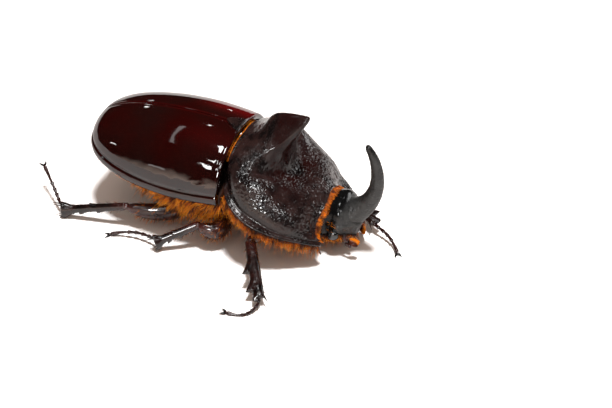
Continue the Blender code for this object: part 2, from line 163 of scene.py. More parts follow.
finishes = {
    "caseShell": {
        "dark": (0.0080, 0.0022, 0.0018), "light": (0.0130, 0.0008, 0.0006), "cloudScale": 0.13,
        "rough": (0.22, 0.36), "gloss": 0.0, "coat": 1.0, "coatRough": 0.05, "coatIor": 1.7,
        "patch": (0.085, 0.0015, 0.0020), "patchRough": 0.25,
        "relief": (("pits", 1.3, 0.008), ("grain", 3.0, 0.004))},
    "shieldShell": {
        "dark": (0.0040, 0.0025, 0.0025), "light": (0.0190, 0.0085, 0.0075), "cloudScale": 0.6,
        "rough": (0.22, 0.36), "gloss": 0.3, "coat": 0.7, "coatRough": 0.08,
        "patch": (0.0120, 0.0026, 0.0022), "patchRough": 0.36, "patchCoat": 0.4, "patchGloss": 0.05,
        "relief": (("pits", 2.9, 0.036), ("grain", 3.2, 0.024))},
    "hornShell": {
        "dark": (0.013, 0.013, 0.013), "light": (0.030, 0.030, 0.029), "cloudScale": 0.7,
        "rough": (0.38, 0.52), "gloss": 0.5, "coat": 0.15, "coatRough": 0.2, "ior": 1.5,
        "patch": (0.003, 0.003, 0.003), "patchRough": 0.10, "even": 0.9, "patchCoat": 0.15,
        "patchGloss": 0.22, "relief": (("pits", 2.2, 0.060), ("grain", 3.5, 0.050))},
    "eyeShell": {
        "dark": (0.003, 0.004, 0.005), "light": (0.012, 0.014, 0.014), "cloudScale": 2.0,
        "rough": (0.08, 0.14), "gloss": 0.5, "coat": 1.0, "coatRough": 0.05, "ior": 1.5,
        "relief": (("pits", 1.5, 0.150), ("grain", 3.0, 0.03))},
    "amberShellWithLitTop": {
        "dark": (0.004, 0.002, 0.001), "light": (0.055, 0.008, 0.001), "cloudScale": 2.2,
        "rough": (0.26, 0.4), "gloss": 0.1, "coat": 0.1, "coatRough": 0.1, "ior": 1.4,
        # the patch colour is painted light on the club's upper edge and end
        "patch": (0.46, 0.115, 0.003), "patchRough": 0.3, "relief": (("grain", 6.0, 0.02),)},
    "legShell": {
        "dark": (0.0030, 0.0018, 0.0016), "light": (0.014, 0.0045, 0.0036), "cloudScale": 0.9,
        "rough": (0.16, 0.30), "gloss": 0.3, "coat": 0.9, "coatRough": 0.07,
        "patch": (0.050, 0.009, 0.006), "patchRough": 0.34,
        "relief": (("pits", 1.3, 0.060), ("grain", 1.9, 0.040))},
    "underSkin": {
        "dark": (0.012, 0.0035, 0.0016), "light": (0.050, 0.013, 0.004), "cloudScale": 0.7,
        "rough": (0.35, 0.5), "gloss": 0.5, "coat": 0.3, "coatRough": 0.2,
        "relief": (("pits", 2.6, 0.04), ("grain", 6.0, 0.02))},
}
shells = {name: newShell(name, look) for name, look in finishes.items()}
hairLooks = {
    # root is a painted shade colour at each strand's root, standing in for the shade deep in the coat
    "orangeHair": {
        "root": (0.010, 0.0022, 0.0006), "dark": (0.080, 0.0095, 0.0008), "light": (0.95, 0.220, 0.008),
        "tip": (1.0, 0.36, 0.018), "cloudScale": 1.1, "rough": 0.4, "gloss": 0.25},
    "redBristle": {
        "root": (0.02, 0.005, 0.003), "dark": (0.06, 0.010, 0.005), "light": (0.22, 0.035, 0.012),
        "tip": (0.40, 0.09, 0.03), "cloudScale": 1.0, "rough": 0.4, "gloss": 0.25},
}
hairs = {name: newHair(name, look) for name, look in hairLooks.items()}
print("stage: materials made")


# Shape helpers
def noiseWay(spot):
    # three noise values read far apart, as one vector
    far = ((31.4, 0, 0), (0, 47.2, 0), (0, 0, 59.8))
    return Vector([noise.noise(spot + Vector(shift)) for shift in far])


def faceOutward(bm):
    bmesh.ops.recalc_face_normals(bm, faces=bm.faces)
    if bm.calc_volume(signed=True) < 0:
        bmesh.ops.reverse_faces(bm, faces=bm.faces)


def putInScene(name, data):
    item = bpy.data.objects.new(name, data)
    bpy.context.scene.collection.objects.link(item)
    return item


def meshFrom(name, bm):
    mesh = bpy.data.meshes.new(name)
    bm.to_mesh(mesh)
    bm.free()
    return mesh


def pieceFrom(name, bm, material):
    mesh = meshFrom(name, bm)
    mesh.shade_smooth()
    mesh.materials.append(material)
    piece = putInScene(name, mesh)
    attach(piece, "root")
    return piece


def finishPiece(name, bm, shell, nodes=(), patch=None):
    # finishes a closed piece, attaches it to the body's root and hides the parts it replaces; patch is one
    # value or a function of the spot
    bmesh.ops.remove_doubles(bm, verts=bm.verts, dist=0.001)
    faceOutward(bm)
    if patch is not None:
        layer = bm.verts.layers.float.new("patch")
        for vert in bm.verts:
            vert[layer] = patch(vert.co) if callable(patch) else patch
    bmesh.ops.translate(bm, verts=bm.verts, vec=middle)
    bmesh.ops.scale(bm, verts=bm.verts, vec=(mm, mm, mm))
    piece = pieceFrom(name, bm, shells[shell])
    if nodes:
        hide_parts(*nodes)
    return piece


def tubeInto(bm, ring, rings, sides):
    # a grid rolled into a tube by ring(u, turn), its two ends capped
    grid = bmesh.ops.create_grid(bm, x_segments=rings, y_segments=sides, size=0.5)["verts"]
    for vert in grid:
        vert.co = ring(vert.co.x + 0.5, 2 * pi * (vert.co.y + 0.5))
    bmesh.ops.remove_doubles(bm, verts=grid, dist=0.001)
    left = {vert for vert in grid if vert.is_valid}
    ends = [edge for edge in bm.edges if edge.is_boundary and edge.verts[0] in left]
    caps = bmesh.ops.holes_fill(bm, edges=ends)["faces"]
    bmesh.ops.poke(bm, faces=caps)


def tubePiece(name, ring, rings, sides, shell, nodes=(), patch=None):
    bm = bmesh.new()
    tubeInto(bm, ring, rings, sides)
    return finishPiece(name, bm, shell, nodes, patch)


def plateInto(bm, outer, inner, along, across, carve=None):
    # a grid thickened by an extrusion; carve(spot, u, v) then lifts the outer sheet along its normal
    under = bmesh.ops.create_grid(bm, x_segments=along, y_segments=across, size=0.5)["verts"]
    faces = list(dict.fromkeys(face for vert in under for face in vert.link_faces))
    lifted = bmesh.ops.extrude_face_region(bm, geom=faces, use_keep_orig=True)["geom"]
    top = [item for item in lifted if isinstance(item, bmesh.types.BMVert)]
    places = [(vert.co.x + 0.5, vert.co.y + 0.5) for vert in top]
    for vert in under:
        vert.co = inner(vert.co.x + 0.5, vert.co.y + 0.5)
    for vert, place in zip(top, places):
        vert.co = outer(*place)
    if carve:
        faceOutward(bm)
        bm.normal_update()
        moves = [vert.normal * carve(vert.co, *place) for vert, place in zip(top, places)]
        for vert, move in zip(top, moves):
            vert.co += move


def spikeInto(bm, root, tip, size):
    # a thin cone from root to tip
    along = Vector(tip) - Vector(root)
    turn = Vector((0, 0, 1)).rotation_difference(along)
    place = Matrix.LocRotScale((Vector(root) + Vector(tip)) / 2, turn, None)
    bmesh.ops.create_cone(bm, cap_ends=True, segments=6, radius1=size, radius2=size * 0.12,
        depth=along.length, matrix=place)


def onSide(side, place):
    # a place given for the left side, put on the left (1) or mirrored to the right (-1)
    return Vector((place[0], side * place[1], place[2]))


def straight(start, end):
    return lambda u: Vector(start).lerp(Vector(end), u)


def curved(start, middlePoint, end):
    start, middlePoint, end = Vector(start), Vector(middlePoint), Vector(end)
    return lambda u: start * (1 - u) ** 2 + middlePoint * 2 * u * (1 - u) + end * u ** 2


def rounded(u, share):
    # 0 at both ends of a rod and 1 between, as a half round
    return dome(min(u / share, 1.0)) * dome(min((1 - u) / share, 1.0))


def rodRing(path, across, outer, inner, thick, lean=None, share=0.05):
    def ring(u, turn):
        near = max(u - 0.01, 0.0)
        far = min(u + 0.01, 1.0)
        along = (path(far) - path(near)).normalized()
        deep = along.cross(Vector(across)).normalized()
        broad = deep.cross(along)
        close = 0.02 + 0.98 * rounded(u, share)
        c = cos(turn)
        reach = outer(u) * c if c > 0 else inner(u) * c
        spot = path(u) + broad * reach * close + deep * (thick(u) * sin(turn) * close)
        if lean and c > 0:
            spot += along * (lean(u) * c ** 3)
        spot.z = max(spot.z, 0.0)
        return spot
    return ring


def roundRod(path, size, share=0.05):
    return rodRing(path, (0, 0, 1), size, size, size, share=share)


# Wing cases
wingCase = {"length": 21.5, "half": 9.2, "halfBase": 8.75, "rise": 8.15, "rimBase": 7.35, "rimMid": 7.1,
    "rimTip": 9.4, "baseDrop": 0.6, "widest": 0.31, "arch": 2.17, "wall": 0.65, "seam": 0.035,
    "rimWidth": 1.15, "rimGroove": 0.17, "seamGroove": 0.05}


def caseLines(u, inset):
    # x, half width, rim height and seam height at u along a wing case
    wide = wingCase["half"] - inset
    top = wingCase["rimMid"] + wingCase["rise"] - inset
    length = wingCase["length"]
    if u < wingCase["widest"]:
        near = u / wingCase["widest"]
        swell = sin(near * pi / 2)
        half = wide - (wingCase["half"] - wingCase["halfBase"]) * (1 - swell)
        rim = wingCase["rimBase"] + (wingCase["rimMid"] - wingCase["rimBase"]) * swell
        return -length * u, half, rim, top - wingCase["baseDrop"] * (1 - near) ** 2
    turn = (u - wingCase["widest"]) / (1 - wingCase["widest"]) * pi / 2
    back = max(cos(turn), 0.0)
    reach = length * (1 - wingCase["widest"]) - inset
    x = -length * wingCase["widest"] - reach * sin(turn) ** 1.06
    rim = wingCase["rimMid"] + (wingCase["rimTip"] - wingCase["rimMid"]) * (1 - back)
    return x, wide * back ** 0.62, rim, wingCase["rimTip"] + (top - wingCase["rimTip"]) * back ** 0.73


def caseAt(x, inset):
    # u where a wing case's outline reaches x
    before = wingCase["length"] * wingCase["widest"]
    if -x < before:
        return max(-x, 0.0) / wingCase["length"]
    part = min((-x - before) / (wingCase["length"] - before - inset), 0.999)
    return wingCase["widest"] + (1 - wingCase["widest"]) * asin(part ** (1 / 1.06)) * 2 / pi


def casePoint(side, inset, u, v):
    x, half, rim, seam = caseLines(u, inset)
    turn = v * pi / 2
    y = max(half * sin(turn) ** (2 / wingCase["arch"]), wingCase["seam"])
    z = rim + (seam - rim) * max(cos(turn), 0.0) ** (2 / wingCase["arch"])
    return Vector((x, side * y, z))


def caseCarving(spot, u, v):
    # how far the rim, its groove, the seam's margin and the faint waves stand off the plain dome
    half, rim = caseLines(u, 0.0)[1:3]
    drop = sqrt((half - abs(spot.y)) ** 2 + (spot.z - rim) ** 2)
    width = wingCase["rimWidth"]
    lift = -wingCase["rimGroove"] * bell(drop, width + 0.12, 0.26)
    lift += 0.07 * bell(drop, width * 0.5, 0.42) - 0.06 * bell(drop, 0.0, 0.15)
    lift -= wingCase["seamGroove"] * bell(abs(spot.y), 0.5, 0.14)
    lift -= 0.10 * bell(abs(spot.y), 0.0, 0.12)
    lift -= 0.16 * bell(u, 0.0, 0.008)   # rolled front edge
    lift -= 0.02 * bell(u, 0.035, 0.010) * smooth(v / 0.3)
    hump = bell(u, 0.13, 0.06) * bell(v, 0.80, 0.07)   # shoulder knob
    lift += 0.10 * hump
    lift += 0.05 * hump * noise.noise(spot * 2.3)
    lift += 0.010 * noise.noise(spot * 0.5) + 0.002 * noise.noise(spot * 3.0)
    lift += 0.022 * noise.noise(spot * 0.9) * ramp(v, 0.45, 0.25)   # dimpled flank
    return lift * min(1.0, drop / 0.1 + 0.4)


for side, name in hands:
    # painted light: a red band towards the front of each case, painted far stronger on the left case than on
    # the right one, standing in for light shining through the shell; a faint red line runs along the seam on
    # both
    def redBandAndShineThrough(spot):
        red = bell(side * spot.y, 3.9, 1.7) * smooth((spot.x + 9.5) / 6)
        return red * (0.85 if side > 0 else 0.12) + 0.22 * bell(abs(spot.y), 0.22, 0.16)

    caseMesh = bmesh.new()
    plateInto(caseMesh, lambda u, v: casePoint(side, 0.0, u, v),
        lambda u, v: casePoint(side, wingCase["wall"], u, v), 150, 96, caseCarving)
    finishPiece("wingCase_" + name, caseMesh, "caseShell", ("wing_case_" + name,), redBandAndShineThrough)
print("stage: wing cases made")


# Neck shield
neckShield = {"back": 0.3, "length": 13.2, "rimBack": 8.95, "rimDrop": 5.7, "topBack": 14.0,
    "topFront": 7.9, "halfBack": 6.3, "bulge": 4.2, "flange": 1.1, "flangeRise": 0.5,
    "knobAt": 0.43, "knobBroad": 2.9, "knobPoint": 3.3, "knobReach": 3.9, "hollow": 1.1,
    "sideBulge": 1.15, "neckNotch": 0.65, "wall": 0.45, "wrinkle": 0.085}


def shieldRim(u):
    along = u ** 1.2
    bulge = max(sin(pi * along ** 0.74), 0.0) ** 0.9
    x = neckShield["back"] + (neckShield["length"] + 0.1) * along - 0.2 * (1 - u)
    half = neckShield["halfBack"] + neckShield["bulge"] * bulge
    return x, half, neckShield["rimBack"] - neckShield["rimDrop"] * along ** 1.05


def shieldBase(u, v):
    # the plain arch, u from back to front and v from the right rim to the left
    side = 2 * v - 1
    out = abs(side)
    rimX, half, rimZ = shieldRim(u)
    flange = neckShield["flange"] * (1 - 0.5 * ramp(u, 0.45, 0.3))
    raised = rimZ + neckShield["flangeRise"]
    topX = neckShield["back"] + (neckShield["length"] - 0.5) * u
    topZ = neckShield["topFront"] + (neckShield["topBack"] - neckShield["topFront"]) * (1 - u ** 1.6)
    if out > 0.9:
        edge = (out - 0.9) / 0.1
        y = half - flange * (1 - edge)
        x = rimX
        z = rimZ + neckShield["flangeRise"] * (1 - edge)
    else:
        turn = out / 0.9 * pi / 2
        y = (half - flange) * sin(turn)
        lift = max(cos(turn), 0.0)
        x = rimX + (topX - rimX) * (1 - sin(turn))
        arch = 0.5 + 0.55 * smooth(u / 0.4) + 1.6 * ramp(u, 0.8, 0.2)
        z = raised + (topZ - raised) * lift ** arch
    front = ramp(u, 0.75, 0.25)
    x += front * (0.6 * ramp(out, 0.6, 0.3) - neckShield["neckNotch"] * bell(y, 4.6, 1.6))
    return Vector((x, y if side > 0 else -y, z))


def knobEdge(y):
    return neckShield["knobAt"] + 0.03 * (1 - exp(-(y / 1.5) ** 2)) - 0.006 * min(y, 7.0) ** 2


def shieldTop(u, v):
    spot = shieldBase(u, v)
    y = abs(spot.y)
    edge = knobEdge(y)
    rise = smooth((u + 0.04) / (neckShield["knobAt"] + 0.04)) ** 0.9
    point = smooth((u - 0.1) / (neckShield["knobAt"] - 0.1)) ** 1.2
    fall = 1 - smooth((u - edge + 0.02) / 0.14)
    height = neckShield["knobBroad"] * bell(y, 0, 5.6) * rise
    height += neckShield["knobPoint"] * bell(y, 0, 1.9) * point
    spot.z += height * fall * smooth(u / 0.08)
    spot.x += neckShield["knobReach"] * bell(u, edge - 0.01, 0.06) * bell(y, 0, 2.4)
    spot.z -= neckShield["hollow"] * bell(u, 0.68, 0.16) * bell(y, 0, 4.4)
    spot.z -= 0.6 * bell(u, edge + 0.15, 0.07) * exp(-(y / 6.0) ** 4)
    spot.z += neckShield["sideBulge"] * bell(u, 0.4, 0.17) * bell(y, 7.2, 1.5)
    return spot


def shieldUnder(u, v):
    spot = shieldBase(u, v)
    half, rimZ = shieldRim(u)[1:]
    thin = 1 - 0.62 * smooth((abs(2 * v - 1) - 0.93) / 0.07)
    spot.z = rimZ - neckShield["wall"] * thin + 0.9 * (1 - (spot.y / half) ** 2)
    spot.y *= 0.985
    return spot


def wrinkledness(u, y):
    # 1 where the shield is coarsely wrinkled, 0 where it is smooth
    below = smooth((u - knobEdge(min(y, 7.0)) - 0.01) / 0.06) * (1 - ramp(y, 4.2, 1.4))
    bulge = bell(u, 0.42, 0.2) * bell(y, 7.4, 1.5)
    front = ramp(u, 0.62, 0.2) * 0.75
    return min(1.0, max(below, bulge, front)) * (1 - ramp(u, 0.955, 0.02))


def shieldCarving(spot, u, v):
    out = abs(2 * v - 1)
    y = abs(spot.y)
    coarse = wrinkledness(u, y) * (1 - ramp(out, 0.90, 0.03))
    place = Vector((spot.x * 2.8, spot.y * 2.3, spot.z * 2.5))
    ridges = 1 - 2.4 * abs(noise.noise(place + noiseWay(spot * 1.2) * 0.5))
    lift = neckShield["wrinkle"] * coarse * (ridges + 0.5 * noise.noise(spot * 3.1))
    lift += 0.024 * (1 - coarse) * noise.noise(spot * 2.6) * smooth(u / 0.1)
    lift -= 0.10 * bell(out, 0.915, 0.016)   # groove inside the flange
    lift += 0.07 * bell(out, 0.985, 0.010)   # beaded border with its row of pits
    lift -= 0.06 * bell(out, 0.968, 0.006) * max(0.0, sin(spot.x * 11.0)) ** 2
    lift -= 0.16 * bell(u, 0.035, 0.012)   # grooves along the back and front edges
    lift -= 0.05 * bell(u, 0.965, 0.010) * (1 - ramp(out, 0.86, 0.04))
    lift += 0.04 * bell(u, 0.99, 0.010)
    return lift


shieldMesh = bmesh.new()
plateInto(shieldMesh, shieldTop, shieldUnder, 200, 240, shieldCarving)


def shieldPatch(spot):
    # the dark red of the hollow below the knob
    u = (spot.x - neckShield["back"]) / (neckShield["length"] - 0.5)
    y = abs(spot.y)
    inside = bell(y, 1.8, 4.4) * ramp(u, 0.36, 0.08) * (1 - ramp(u, 0.66, 0.25))
    return min(1.0, inside * (0.9 + 0.7 * noise.noise(spot * 0.8)) * ramp(spot.z, 4.5, 0.5))


finishPiece("neckShield", shieldMesh, "shieldShell", ("neck_shield",), shieldPatch)


tagShape = {"half": 1.5, "front": -0.15, "length": 2.2, "edge": 0.10, "top": 0.32, "under": 0.02}
cornerSpine = {"root": (12.8, 5.5, 2.8), "tip": (14.1, 6.1, 1.65), "thick": 0.27}


def tagSheet(height):
    def sheet(u, v):
        half = tagShape["half"] * (1 - u) ** 0.8 + 0.03
        y = half * (2 * v - 1)
        x = tagShape["front"] - tagShape["length"] * u
        seam = caseLines(-x / wingCase["length"], 0.0)[3]
        edge = min(1.0, (1 - abs(2 * v - 1)) / 0.12, (1 - u) / 0.06)
        raised = tagShape["edge"] + (height - tagShape["edge"]) * dome(edge)
        return Vector((x, y, seam + (raised if height > tagShape["edge"] else height) - 0.03 * y * y))
    return sheet


tagMesh = bmesh.new()
plateInto(tagMesh, tagSheet(tagShape["top"]), tagSheet(tagShape["under"]), 40, 40)
finishPiece("shoulderTag", tagMesh, "shieldShell", ("shoulder_tag",), 0.0)
for side, name in hands:   # a short spine below each front corner
    path = straight(onSide(side, cornerSpine["root"]), onSide(side, cornerSpine["tip"]))
    tubePiece("cornerSpine_" + name, roundRod(path, lambda u: cornerSpine["thick"] * (1 - 0.8 * u), 0.06),
        20, 14, "legShell", (), 0.2)
print("stage: neck shield made")


# Head and horn
headShape = {"back": 12.8, "neck": 13.4, "length": 4.6, "half": 3.25, "top": 7.5, "low": 1.7,
    "cheekRidge": 0.35, "grain": 0.09}
hornShape = {"centre": Vector((14.9, 0.0, 12.4)), "start": -1.52, "end": 1.0, "reach": 4.3,
    "rootSpread": 1.9, "tipSpread": 1.6, "tip": 0.3, "thick": 0.85, "rootThick": 0.9, "narrow": 0.86,
    "flare": 0.55}


def headRing(u, turn):
    front = headShape["neck"] + headShape["length"]
    x = headShape["back"] + (front - headShape["back"]) * u
    u = max(0.0, x - headShape["neck"]) / headShape["length"]
    half = headShape["half"] * (0.93 + 0.1 * sin(pi * min(u / 0.7, 1.0)))
    half *= 1 - 0.5 * ramp(u, 0.35, 0.75)
    half += 0.55 * smooth((headShape["neck"] + 0.9 - x) / 1.6)
    top = headShape["top"] + 0.35 * sin(pi * u) - 3.3 * ramp(u, 0.25, 0.85)
    low = headShape["low"] + 0.6 * smooth(u / 0.6)
    across = cos(turn)
    up = sin(turn)
    mid = low + (top - low) * 0.46
    close = 1.0 if u < 0.9 else sqrt(max(0.0, 1 - ((u - 0.9) / 0.1) ** 2)) * 0.6 + 0.4
    y = half * close * (1 if across > 0 else -1) * abs(across) ** (0.85 if up > 0 else 0.65)
    z = mid + (top - mid) * close * up ** 0.9 if up > 0 else mid - (mid - low) * abs(up) ** 0.75
    x -= 0.9 * u * smooth((4.8 - z) / 2.2)
    spot = Vector((x, y, z))
    ridge = bell(z, 4.5, 0.35) * bell(x, 15.4, 1.1) * abs(across) ** 3   # cheek ridge over the eye
    spot.y += headShape["cheekRidge"] * ridge * (1 if across > 0 else -1)
    wrinkled = smooth((5.6 - z) / 1.5) * ramp(x, 13.3, 0.6)
    grain = headShape["grain"] * wrinkled * noise.noise(spot * 2.6)
    grain += 0.03 * wrinkled * noise.noise(spot * 6.0)
    return spot + Vector((0.2, across, up)).normalized() * grain


def neckGloss(spot):
    return smooth((15.7 - spot.x - 0.25 * (6.5 - spot.z)) / 0.7)


tubePiece("headCapsule", headRing, 110, 110, "hornShell", ("head",), neckGloss)


def hornRing(u, turn):
    angle = hornShape["start"] + (hornShape["end"] - hornShape["start"]) * u
    spread = hornShape["rootSpread" if angle < 0.25 else "tipSpread"]
    reach = hornShape["reach"] + spread * ((angle - 0.25) / 1.3) ** 2
    left = min(1.0, (hornShape["end"] - angle) / 2.38)
    thick = hornShape["tip"] + hornShape["thick"] * left ** 0.5 + hornShape["rootThick"] * left ** 5
    thick *= dome(left / 0.045) if left < 0.045 else 1.0
    flare = hornShape["flare"] * smooth((-1.05 - angle) / 0.5)   # spreads out into the head
    out = Vector((cos(angle), 0.0, sin(angle)))
    spot = hornShape["centre"] + out * (reach + (thick + 0.3 * flare) * cos(turn))
    spot.y += (hornShape["narrow"] * thick + flare) * sin(turn) * (1 - 0.12 * abs(cos(turn)))
    grain = 0.022 * noise.noise(spot * 1.8) + 0.020 * noise.noise(spot * 4.5)
    return spot + (spot - hornShape["centre"] - out * reach).normalized() * grain * min(1.0, left / 0.05)


def hornTip(spot):
    return 0.8 * ramp(spot.z, 14.2, 2.0)


tubePiece("hornPiece", hornRing, 190, 72, "hornShell", ("horn",), hornTip)


# Eyes, feelers and palps
eyeShape = {"size": (0.88, 0.80, 0.88), "place": (14.5, 3.02, 3.1)}
for side, name in hands:
    eyeMesh = bmesh.new()
    bmesh.ops.create_uvsphere(eyeMesh, u_segments=48, v_segments=32, radius=1.0)
    bmesh.ops.scale(eyeMesh, verts=eyeMesh.verts, vec=eyeShape["size"])
    bmesh.ops.translate(eyeMesh, verts=eyeMesh.verts, vec=onSide(side, eyeShape["place"]))
    finishPiece("eyePiece_" + name, eyeMesh, "eyeShell", ("eye_" + name,))

feelers = {
    "right": ((15.9, -2.5, 3.0), (16.2, -3.3, 2.7), (16.75, -3.1, 2.75), (18.2, -2.9, 2.45)),
    "left": ((15.9, 2.4, 2.9), (16.9, 2.8, 2.2), (17.0, 1.75, 1.9), (17.45, 0.75, 1.35)),
}
feelerShape = {"stem": 0.27, "joints": 7, "leafRoot": 0.12, "leafSwell": 0.30, "leafThick": 0.11,
    "fan": (0.05, 0.16, 0.17)}
palpShape = {"thick": 0.3, "joints": 4, "path": ((15.4, 1.7, 2.3), (16.0, 2.6, 1.4), (17.0, 2.3, 1.3))}


def beads(size, count, depth):
    return lambda u: size * (1 - depth + depth * abs(sin(pi * (count * u + 0.02))) ** 0.7)


def clubLitTop(spot, wrist, tip):
    # painted light: the club's upper edge and its end are painted bright orange where light falls on them,
    # the rest is left dark
    part = (spot.x - wrist[0]) / (tip[0] - wrist[0])
    above = spot.z - wrist[2] - (tip[2] - wrist[2]) * part
    return smooth((above - 0.13 + 0.25 * ramp(part, 0.7, 0.3)) / 0.15)


def leafSize(u):
    return feelerShape["leafRoot"] + feelerShape["leafSwell"] * sin(pi * (0.12 + 0.80 * u)) ** 0.8


for name, (root, elbow, wrist, tip) in feelers.items():
    stem = beads(feelerShape["stem"], feelerShape["joints"], 0.3)
    tubePiece("feelerStem_" + name, roundRod(curved(root, elbow, wrist), stem), 70, 18,
        "legShell", ("feeler_" + name,), 0.7)
    clubMesh = bmesh.new()
    side = -1 if name == "right" else 1
    for leaf in (-1, 0, 1):   # three leaves, folded together
        shift = onSide(-side, feelerShape["fan"]) * leaf
        path = straight(Vector(wrist) + shift * 0.5, Vector(tip) + shift)
        tubeInto(clubMesh, rodRing(path, (0, 1, 0.35), leafSize, leafSize,
                lambda u: feelerShape["leafThick"], share=0.12), 28, 16)
    finishPiece("feelerClub_" + name, clubMesh, "amberShellWithLitTop", ("feeler_club_" + name,),
        lambda spot: clubLitTop(spot, wrist, tip))

for side, name in hands:
    path = curved(*(onSide(side, place) for place in palpShape["path"]))
    tubePiece("palpPiece_" + name, roundRod(path, beads(palpShape["thick"], palpShape["joints"], 0.35), 0.1),
        60, 18, "legShell", ("palp_" + name,), 0.5)
print("stage: head made")


# Legs
# hip, bend of the thigh, knee, end of the shin, then start, bend and end of the foot
legs = {
    "front_right": ((8.0, -2.2, 3.2), (6.7, -6.2, 3.5), (5.5, -10.0, 4.2), (10.1, -17.2, 1.2),
        (10.0, -17.3, 0.8), (9.9, -20.4, -0.15), (6.8, -20.4, 0.2)),
    "front_left": ((8.0, 2.2, 3.2), (9.0, 6.0, 2.5), (11.0, 8.5, 2.3), (18.1, 3.3, 1.6),
        (18.0, 3.3, 1.45), (21.0, 2.5, 1.1), (22.6, 0.2, 0.26)),
    "middle_right": ((-0.5, -3.8, 3.2), (1.6, -9.2, 2.0), (-2.7, -8.9, 3.4), (-7.6, -12.2, 1.25),
        (-8.0, -11.4, 1.1), (-11.2, -10.3, 1.2), (-14.4, -11.8, 0.26)),
    "middle_left": ((-0.8, 3.8, 3.2), (-0.2, 7.6, 2.3), (-3.0, 8.9, 3.9), (-4.6, 15.3, 1.25),
        (-4.7, 15.6, 0.9), (-5.6, 18.6, -0.15), (-2.6, 20.0, 0.2)),
    "hind_right": ((-5.5, -4.0, 3.0), (-8.0, -7.6, 1.9), (-13.6, -8.5, 3.0), (-22.7, -10.5, 1.05),
        (-23.3, -9.7, 1.5), (-24.5, -8.5, 2.2), (-27.8, -5.6, 3.65)),
    "hind_left": ((-5.5, 4.0, 3.0), (-8.0, 7.4, 2.1), (-12.5, 8.0, 4.0), (-19.6, 12.6, 1.3),
        (-19.8, 12.8, 0.9), (-22.0, 14.8, -0.15), (-25.6, 15.1, 0.2)),
}
legShape = {"thighHalf": 1.25, "thighThick": 0.85, "knee": 0.52, "shinThick": 0.5, "toothHeight": 0.85,
    "foot": 0.3, "ankle": 0.21, "claw": 0.2, "clawRoot": 0.16, "bristles": 26}
spurs = {"front": 0.16, "back": 0.15, "comb": 0.1, "combSpines": 7}
footJoints = (0.0, 0.17, 0.33, 0.49, 0.65, 1.0)


def tooth(u, at, rise, fall):
    if u < at:
        return max(0.0, 1 - (at - u) / rise) ** 1.3
    return max(0.0, 1 - (u - at) / fall)


def frontTeeth(u):
    return tooth(u, 0.50, 0.16, 0.06) + tooth(u, 0.81, 0.16, 0.06) + 0.95 * tooth(u, 1.0, 0.11, 0.05)


def frontOuter(u):
    body = 0.75 + 0.2 * smooth(u / 0.5)
    return body * (1 - 0.45 * ramp(u, 0.85, 0.15)) + legShape["toothHeight"] * frontTeeth(u)


def backOuter(u):
    ridges = 0.26 * tooth(u, 0.43, 0.12, 0.03) + 0.32 * tooth(u, 0.70, 0.12, 0.03)
    return 0.58 + 0.02 * u + ridges + 0.66 * ramp(u, 0.75, 0.25)


def backInner(u):
    return 0.54 + 0.02 * u + 0.14 * tooth(u, 0.55, 0.10, 0.03) + 0.58 * ramp(u, 0.78, 0.22)


def shinFrame(kind, side, knee, heel):
    # the shin's own directions: along it, its broad side and its thickness
    if kind == "front":
        facing = (-0.86, -0.5, -0.1) if side < 0 else (0.57, 0.77, 0.29)
    else:
        facing = (0, side * 0.35, -1)
    along = (heel - knee).normalized()
    deep = along.cross(Vector(facing)).normalized()
    return facing, along, deep.cross(along), deep


def thighHalf(u):
    return 0.5 + (legShape["thighHalf"] - 0.5) * sin(pi * (0.1 + 0.86 * u))


def footSize(u):
    # five foot joints, each a cone that widens to its end, the last one long
    for first, last in zip(footJoints, footJoints[1:]):
        if u <= last:
            part = (u - first) / (last - first)
            swell = 0.55 + 0.48 * part ** 1.5
            return legShape["foot"] * swell * (1 if part < 0.9 else 1 - 3.5 * (part - 0.9))
    return legShape["foot"] * 0.6


